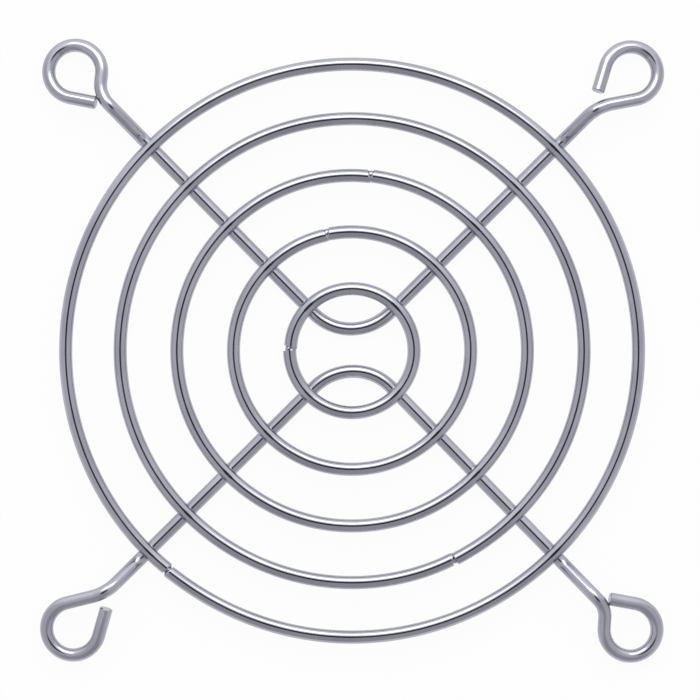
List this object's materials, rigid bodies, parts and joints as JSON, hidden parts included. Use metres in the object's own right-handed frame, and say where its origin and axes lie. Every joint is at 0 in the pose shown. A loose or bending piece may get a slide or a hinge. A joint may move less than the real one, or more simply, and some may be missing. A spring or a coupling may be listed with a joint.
{
  "type": "wire fan guard",
  "caption": "Wire fan guard: concentric rings welded across two bent support wires that end in screw eyes at the corners.",
  "frame": {"origin": "on the axis of the rings, in the plane that the support wires rest on", "axes": "+Z along the axis of the rings, from the support wires towards the rings and the fan; +X and +Y along the sides of the square of screw eyes"},
  "size_m": [0.08, 0.08, 0.0046],
  "materials": {
    "plated_wire": "bright plated steel wire"
  },
  "bodies": {
    "root": {"inner_ring": "plated_wire", "second_ring": "plated_wire", "third_ring": "plated_wire", "fourth_ring": "plated_wire", "outer_ring": "plated_wire", "back_support_wire": "plated_wire", "front_support_wire": "plated_wire"}
  },
  "joints": []
}
